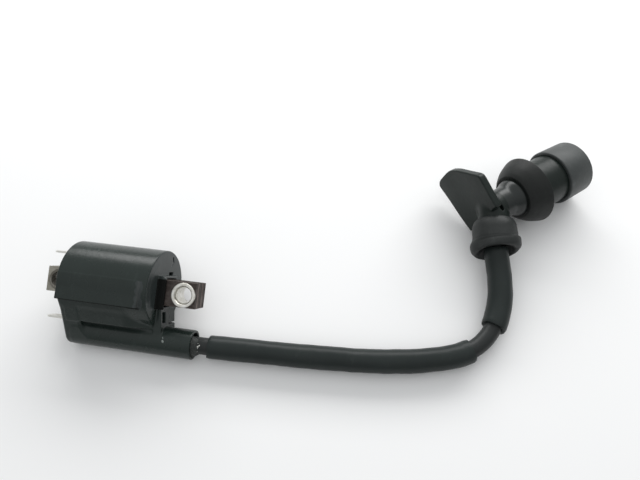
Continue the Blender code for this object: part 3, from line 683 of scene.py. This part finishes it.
def housing_look(x, y, z):
    """The material of a face of the housing, by where its middle is."""
    if x > BODY_RIGHT - 0.35 and COLLAR_FRONT - 0.6 < y < -5.2 and COLLAR_LOW < z < WAY_TOP:
        return PAINTED_SHADE  # painted shade on the front wall of the collar and shroud, for the shadowed gap beside the core
    if x < PAD_END + 0.6 and y < -13.6 and PAD_LOW - 0.4 < z < PAD_LOW + 0.25:
        return PAINTED_SHADE  # painted shade in the crease below the pad's lower edge
    if x > BODY_RIGHT - 0.8 and z > -8.2 and abs(y) < BODY_R - 0.1:
        return PAINTED_REFLECTION  # the end face, made lighter: painted reflection of the bright floor
    # A painted highlight on the slope where the pad falls to the barrel at its right end, with painted
    # reflection round it.
    on_pad = y < -12.5 and PAD_LOW + 0.3 < z < PAD_TOP - 0.1
    if on_pad and PAD_END - 0.9 + 0.3 * sin(z * 2.1) < x <= PAD_END + 1.9 + 0.4 * sin(z * 1.1 + 1):
        return PAINTED_HIGHLIGHT if PAD_END - 0.1 < x < PAD_END + 0.7 + 0.3 * sin(z * 1.3) else PAINTED_REFLECTION
    return HOUSING


def make_housing():
    points, faces = skin(
        housing_field, (BODY_LEFT - 0.8, -16.9, -28.2), (TOWER_MOUTH + 0.8, 16.9, 16.9), 0.3,
    )
    looks = [HOUSING, PAINTED_SHADE, PAINTED_HIGHLIGHT, PAINTED_REFLECTION]
    made = piece("housing", points, faces, COIL, looks, "coil", ["coil_housing"], sharp=0)
    to_coil = COIL.inverted()
    for polygon in made.data.polygons:
        polygon.material_index = looks.index(housing_look(*(to_coil @ polygon.center)))


def flash_field(x, y, z):
    """A string of plastic that runs from the boss on to the tower and ends in a pale blob."""
    string = strand(x, y, z, (19.0, -3.6, -16.3), (20.9, -5.7, -19.3), 0.16)
    blob = strand(x, y, z, (20.8, -5.75, -20.2), (21.1, -5.85, -20.6), 0.42)
    tail = strand(x, y, z, (21.0, -5.55, -20.4), (22.8, -5.52, -20.5), 0.30)
    return join(join(string, blob, 0.3), tail, 0.3)


def make_flash():
    points, faces = skin(flash_field, (18.4, -6.8, -21.4), (24.4, -3.0, -15.6), 0.09)
    piece("housing_flash", points, faces, COIL, PALE, "coil", None, sharp=0)


make_flash()
make_housing()


# ---- core, bushes, blades, glue --------------------------------------------------------------------------


def cut_with(made, cutter_points, cutter_faces, place):
    """Cuts a closed mesh out of a piece for good."""
    mesh = bpy.data.meshes.new("cutter")
    mesh.from_pydata([place @ Vector(p) for p in cutter_points], [], cutter_faces)
    cutter = bpy.data.objects.new("cutter", mesh)
    bpy.context.scene.collection.objects.link(cutter)
    modifier = made.modifiers.new("cut", "BOOLEAN")
    modifier.operation = "DIFFERENCE"
    modifier.object = cutter
    modifier.solver = "EXACT"
    modifier.use_self = True
    bpy.context.view_layer.update()
    graph = bpy.context.evaluated_depsgraph_get()
    result = bpy.data.meshes.new_from_object(made.evaluated_get(graph), depsgraph=graph)
    made.modifiers.clear()
    made.data = result
    bpy.data.objects.remove(cutter)


def across(x, z):
    """Frame on the axis of a bush, whose X points out of the coil's front."""
    return COIL @ Matrix.Translation(Vector((x, 0, z))) @ Matrix.Rotation(-pi / 2, 4, "Z")


def make_core():
    """A stack of sheets, each a little out of line with the next, parted at x = 0 for its two looks."""
    verts, faces = [], []
    pitch = CORE_THICK / CORE_SHEETS
    low, high = CORE_Z - CORE_HIGH / 2 + 0.08, CORE_Z + CORE_HIGH / 2 - 0.08
    for i in range(CORE_SHEETS):
        front = -CORE_THICK / 2 + i * pitch
        shift_x, shift_z = 0.10 * sin(i * 2.4), 0.07 * sin(i * 1.7 + 1)
        tip = CORE_HALF - 0.1 + shift_x * 0.5
        rear = front + pitch - SHEET_GAP
        for start, end in ((-tip, -0.02), (0.02, tip)):
            points, quads = box((start, front, low + shift_z), (end, rear, high + shift_z))
            faces += [tuple(len(verts) + k for k in quad) for quad in quads]
            verts += points
    looks = [CLEAN_STEEL, *STEELS]
    made = piece("core", verts, faces, COIL, looks, "coil", ["laminated_core"], sharp=30)
    for x in (-BUSH_X, BUSH_X):
        points, quads = lathe([(-9, 0), (-9, BUSH_R + 0.1), (9, BUSH_R + 0.1), (9, 0)], 48)
        cut_with(made, points, quads, across(x, CORE_Z))
    to_coil = COIL.inverted()
    for polygon in made.data.polygons:
        at = to_coil @ polygon.center
        sheet = int((at.y + CORE_THICK / 2) / pitch)
        # Bands of three sheets differ in tone.
        polygon.material_index = 0 if at.x < 0 else (1, 2, 1, 3, 2, 1, 3)[sheet // 3 % 7]


def make_bushes():
    """Steel tubes through the core's ends, of which the right one has a flange on the front."""
    inside = CORE_THICK / 2 + 0.1
    outside = inside + BUSH_FLANGE
    bore = [(-inside, 4.05, 0.1), (0.0, BUSH_BORE_R, 0.8)]
    plain = bore + [(inside - 0.3, BUSH_BORE_R, 0.2), (inside, BUSH_BORE_R + 0.3, 0.1), (inside, BUSH_R, 0.1)]
    flanged = bore + [
        (inside, BUSH_BORE_R, 0.4), (outside, BUSH_BORE_R + 0.6, 0.2), (outside, BUSH_FLANGE_R, 0.35),
        (inside, BUSH_FLANGE_R, 0.1), (inside, BUSH_R, 0),
    ]
    for side, x, shape, look in (("left", -BUSH_X, plain, DULL_ZINC), ("right", BUSH_X, flanged, ZINC)):
        points, faces = lathe(rounded(shape + [(-inside, BUSH_R, 0)]), 96)
        node = f"{side}_mount_bush"
        piece(f"bush_{side}", points, faces, across(x, CORE_Z), look, "coil", [node])


def make_blades():
    half, tip = 3.15, -CORE_HALF
    for name, z, root in (("power", BLADE_UP_Z, 3.0), ("earth", BLADE_DOWN_Z, 4.0)):
        corners = [(half - 1, tip), (half, tip + 1.4), (half, BODY_LEFT + root)]
        corners += [(-y, x) for y, x in reversed(corners)]
        n = len(corners)
        verts = []
        for level, shrink in ((-0.4, 0.12), (-0.28, 0), (0.28, 0), (0.4, 0.12)):
            for y, x in corners:
                verts.append((x + (shrink if x < tip + 2 else 0), y * (1 - shrink / half), z + level))
        faces = [tuple(range(n))[::-1], tuple(range(3 * n, 4 * n))]
        for level in range(3):
            for k in range(n):
                m = (k + 1) % n
                faces.append((level * n + k, level * n + m, (level + 1) * n + m, (level + 1) * n + k))
        node = f"{name}_terminal"
        made = piece(f"blade_{name}", verts, faces, COIL, TIN, "coil", [node], sharp=30)
        points, quads = lathe([(-3, 0), (-3, 0.85), (3, 0.85), (3, 0)], 24)
        hole = COIL @ Matrix.Translation(Vector((tip + 3.6, 0, z))) @ Matrix.Rotation(pi / 2, 4, "Y")
        cut_with(made, points, quads, hole)


def make_potting():
    points, faces = lathe(rounded([
        (BODY_LEFT + 0.5, 0, 0), (BODY_LEFT + 0.5, 12.6, 0.5), (BODY_LEFT + 0.2, BODY_R - 2.05, 0),
        (-17.3, BODY_R - 2.05, 0), (-17.3, 0, 0),
    ]), 96)
    made = piece("potting", points, faces, COIL, EPOXY, "coil", ["epoxy_potting"])
    cut_with(made, *box((-24, -5.6, CORE_Z - 5.5), (-10, 5.6, CORE_Z + 5.5)), COIL)


def make_tower_seal():
    """A cone of glue round the lead in the tower's mouth, with a gap under the lip at its back."""
    def uneven(x, r, t):
        gap = float(ease(cos(t - 0.45), 0.40, 0.85))
        if x > TOWER_MOUTH - 2:
            lumps = 0.16 * sin(3 * t + 0.4) + 0.10 * sin(7 * t + 2)
            return x + lumps - 3.6 * gap, r - gap * 0.2 + 0.05 * sin(11 * t + 4 * x)
        return x, r

    points, faces = lathe(rounded([
        (TOWER_MOUTH - 6, LEAD_R - 0.1, 0), (TOWER_MOUTH - 6, TOWER_BORE_R - 0.05, 0),
        (TOWER_MOUTH - 0.1, TOWER_BORE_R - 0.05, 0.2), (TOWER_MOUTH + 1.3, 4.45, 0.9),
        (TOWER_MOUTH + 2.5, LEAD_R + 0.12, 0.3), (TOWER_MOUTH + 2.6, LEAD_R - 0.1, 0),
    ]), 96, (0.0, -TOWER_DROP), uneven)
    return piece("tower_seal_cone", points, faces, COIL, SEALANT, "coil", ["tower_seal"])


def glue_field(x, y, z):
    """Beads of clear glue on the lead, next to the cone."""
    drops = [(34.9, 272, 0.32), (35.5, 281, 0.27), (34.8, 262, 0.2), (34.8, 294, 0.16), (34.7, 236, 0.18)]
    seat = LEAD_R - 0.05
    shape = None
    for at, angle, size in drops:
        t = radians(angle)
        out, up = y - seat * sin(t), z + TOWER_DROP - seat * cos(t)
        drop = np.sqrt((x - at) ** 2 + out**2 + up**2) - size
        shape = drop if shape is None else join(shape, drop, 0.5)
    return shape


def make_glue_drops():
    points, faces = skin(glue_field, (34.0, -4.4, -24.6), (36.4, -1.8, -18.4), 0.09)
    piece("glue_drops", points, faces, COIL, GLUE, "coil", None, sharp=0)


make_core()
make_bushes()
make_blades()
make_potting()
tower_seal = make_tower_seal()
make_glue_drops()


# ---- cap -------------------------------------------------------------------------------------------------

TO_SOCKET = np.array(SOCKET.inverted() @ PLUG)
TAB_SHAPE = rounded([(y, z, fillet) for (y, z), fillet in zip(TAB_OUTLINE, TAB_FILLETS)], 3)


def tab_field(x, y, z):
    """The finger tab: a plate that is a little bent, with round edges."""
    bent = 0.15 * np.sin(y * 0.25 + 1) + 0.10 * np.sin(z * 0.3)
    flat = outline(y, z, TAB_SHAPE, 0.0) + TAB_EDGE + 0.5 * ease(y + z * 0.1, 21.0, 24.0)
    thick = np.abs(x + bent - (TAB_FRONT + TAB_BACK) / 2) - (TAB_BACK - TAB_FRONT) / 2 + TAB_EDGE
    inside = np.minimum(np.maximum(flat, thick), 0)
    return inside + np.hypot(np.maximum(flat, 0), np.maximum(thick, 0)) - TAB_EDGE


def socket_field(x, y, z):
    """The lead's socket along its own X, which ends in a dome at the elbow and inside the lead's cover."""
    dome = np.sqrt((np.minimum(x, 0) / 7.4) ** 2 * SOCKET_R**2 + y**2 + z**2) - SOCKET_R
    return np.where(x < 0, dome, np.maximum(np.hypot(y, z) - SOCKET_R, x - (DEPTH - COVER_REACH)))


def cap_field(x, y, z):
    """Neck, tube, socket and tab, less the bores for the plug and the lead and the notch by the neck."""
    sx, sy, sz = (a * x + b * y + c * z + d for a, b, c, d in TO_SOCKET[:3])
    around = np.hypot(y, z)
    neck_r = SOCKET_R + 0.3 * ease(x, 0.6, 7.5) + 1.5 * ease(x, 7.0, SEAL_FROM)
    neck = np.maximum(around - neck_r, np.maximum(-0.6 - x, x - SEAL_TO))
    tube = rod(x, y, z, SEAL_TO - 1, BOOT_FROM + 8, TUBE_R, edge=0.9)
    shape = join(join(join(neck, tube, 0.8), socket_field(sx, sy, sz), 0.4), tab_field(x, y, z), 0.9)
    plug_bore = np.maximum(np.where(x < 30, around - 4.6, around - 8.0), 24 - x)
    lead_bore = np.maximum(np.hypot(sy, sz) - LEAD_R - 0.3, 3.6 - sx)
    notch = np.sqrt(((x + 0.7) / 0.9) ** 2 + ((y + 1.7) / 1.5) ** 2 + ((z - 5.7) / 1.7) ** 2) - 1
    return carve(carve(carve(shape, plug_bore, 0.3), lead_bore, 0.3), notch, 0.2)


def make_cap_body():
    points, faces = skin(cap_field, (-9.5, -21.5, -21.6), (BOOT_FROM + 8.8, 25.5, 14.6), 0.34)
    made = piece("cap", points, faces, PLUG, [RESIN, NECK], "cap", ["cap_body"], sharp=0)
    to_plug = PLUG.inverted()
    for polygon in made.data.polygons:
        if 3.0 < (to_plug @ polygon.center).x < SEAL_FROM + 4:
            polygon.material_index = 1


def make_cap_rubber():
    top, rim = DEPTH - 14.0, DEPTH - 4.9
    turn = SOCKET.to_3x3().inverted()
    upper, right = turn @ Vector((-0.19, -0.52, 0.83)), turn @ Vector((1.0, -0.11, 0.13))

    def lean(x, r, t):
        """The lip sits a little askew on the socket, and its mouth is cut at a slant."""
        above = (sin(t) * upper.y + cos(t) * upper.z) / upper.length
        aside = (sin(t) * right.y + cos(t) * right.z) / right.length
        lip = min(max((x - rim + 0.9) / 1.2, 0), 1)
        mouth = min(max((x - rim - 1.2) / (DEPTH - rim - 1.2), 0), 1) ** 2
        flush = float(ease(above, 0.3, 0.85)) * lip * min(max(r - 8.8, 0), 1.6) * 0.72
        r = r * (1 + 0.006 * sin(3 * t + x)) - flush
        return x - lip * 0.10 * r * aside - mouth * (0.16 * r * above - 0.1), r

    points, faces = lathe(rounded([
        (top, SOCKET_R + 0.1, 0.1), (top, 7.5, 0.4), (top + 0.9, 8.3, 0.8), (top + 3.0, 9.15, 1.5),
        (rim - 0.9, 9.4, 0.3), (rim - 0.4, 9.5, 0.3), (rim + 0.5, 10.5, 1.0), (DEPTH - 1.2, 10.4, 1.3),
        (DEPTH, 9.0, 0.5), (DEPTH, 7.9, 0.5), (DEPTH - 3.2, 5.45, 0.5), (DEPTH - 4.2, 5.3, 0),
        (DEPTH - 4.2, 3.8, 0), (DEPTH - 6.3, 3.8, 0), (DEPTH - 6.3, SOCKET_R + 0.1, 0),
    ]), 96, wave=lean)
    piece("lead_cover", points, faces, SOCKET, RUBBER, "cap", ["lead_end_cover"])
    points, faces = lathe(rounded([
        (SEAL_FROM, 8.2, 0.1), (SEAL_FROM, 9.7, 0.35), (SEAL_FROM + 1.2, 11.0, 0.8),
        (SEAL_FROM + 4.0, 13.1, 1.6), (SEAL_TO - 1.0, SEAL_R - 0.35, 0.6), (SEAL_TO, SEAL_R, 0.12),
        (SEAL_TO, SEAL_R - 0.9, 0.3), (SEAL_TO - 3.0, 12.2, 1.0), (SEAL_FROM + 3.2, 10.7, 1.0),
        (SEAL_TO - 3.6, 9.8, 0.3), (SEAL_TO - 3.6, 9.3, 0), (SEAL_FROM + 1.0, 8.2, 0),
    ]), 120)
    piece("seal", points, faces, PLUG, SEAL_RUBBER, "cap", ["umbrella_seal"])
    points, faces = lathe(rounded([
        (BOOT_FROM, TUBE_R + 0.12, 0.1), (BOOT_FROM, BOOT_R[0], 0.7), (BOOT_TO - 0.2, BOOT_R[1] + 0.1, 0),
        (BOOT_TO, BOOT_R[1], 1.1), (BOOT_TO, 8.4, 0.5), (BOOT_TO - 5, 7.6, 0), (BOOT_FROM + 8.4, 7.6, 0),
        (BOOT_FROM + 8.4, TUBE_R + 0.12, 0),
    ]), 120)
    piece("boot", points, faces, PLUG, BOOT_RUBBER, "cap", ["plug_boot"])


make_cap_body()
make_cap_rubber()


# ---- what is inside --------------------------------------------------------------------------------------


def make_metal(name, colour, roughness):
    return Paint(name, colour, roughness, metallic=1.0).made


INNER = {
    "natural_bobbin": Paint("natural_bobbin", (0.75, 0.72, 0.62), 0.5).made,
    "enamelled_wire": make_metal("enamelled_wire", (0.62, 0.27, 0.10), 0.35),
    "contact_brass": make_metal("contact_brass", (0.66, 0.48, 0.20), 0.3),
    "resistor_ceramic": Paint("resistor_ceramic", (0.85, 0.83, 0.78), 0.5).made,
    "zinc_plate": ZINC,
}
for part in frame["record"]["subparts"]:
    node = frame["nodes"][part["node"]]
    if not node.hide_render and part["material_slot"] in INNER:
        node.data.materials.clear()
        node.data.materials.append(INNER[part["material_slot"]])


# ---- floor and light -------------------------------------------------------------------------------------


def make_floor():
    mesh = bpy.data.meshes.new("floor")
    mesh.from_pydata([(-3, -3, 0), (3, -3, 0), (3, 3, 0), (-3, 3, 0)], [], [(0, 1, 2, 3)])
    paper = Paint("pale_floor", (0.86, 0.86, 0.855), 0.8, specular=0.2)
    mesh.materials.append(paper.made)
    floor = bpy.data.objects.new("floor", mesh)
    bpy.context.scene.collection.objects.link(floor)


def make_light(name, position, target, size, power):
    data = bpy.data.lights.new(name, "AREA")
    data.shape = "RECTANGLE"
    data.size, data.size_y = size
    data.energy = power
    made = bpy.data.objects.new(name, data)
    made.location = position
    made.visible_camera = False
    made.rotation_euler = (Vector(target) - Vector(position)).to_track_quat("-Z", "Y").to_euler()
    bpy.context.scene.collection.objects.link(made)


def make_room(dim, bright):
    """A world that is bright overhead and dimmer round the sides."""
    world = bpy.data.worlds.new("soft_room")
    world.use_nodes = True
    tree = world.node_tree
    place = tree.nodes.new("ShaderNodeTexCoord")
    split = tree.nodes.new("ShaderNodeSeparateXYZ")
    fade = tree.nodes.new("ShaderNodeValToRGB")
    for end, (position, level) in zip(fade.color_ramp.elements, ((0.0, dim), (1.0, bright))):
        end.position, end.color = position, (level * 0.97, level * 0.985, level, 1.0)
    tree.links.new(place.outputs["Generated"], split.inputs["Vector"])
    tree.links.new(split.outputs["Z"], fade.inputs["Fac"])
    tree.links.new(fade.outputs["Color"], tree.nodes["Background"].inputs["Color"])
    tree.nodes["Background"].inputs["Strength"].default_value = 1.0
    bpy.context.scene.world = world


make_floor()
make_light("back_light", (0.1, 0.66, 0.39), (0.08, 0.06, 0.0), (1.2, 0.32), 6.4)
make_room(0.24, 0.95)
bpy.context.scene.view_settings.view_transform = "Standard"
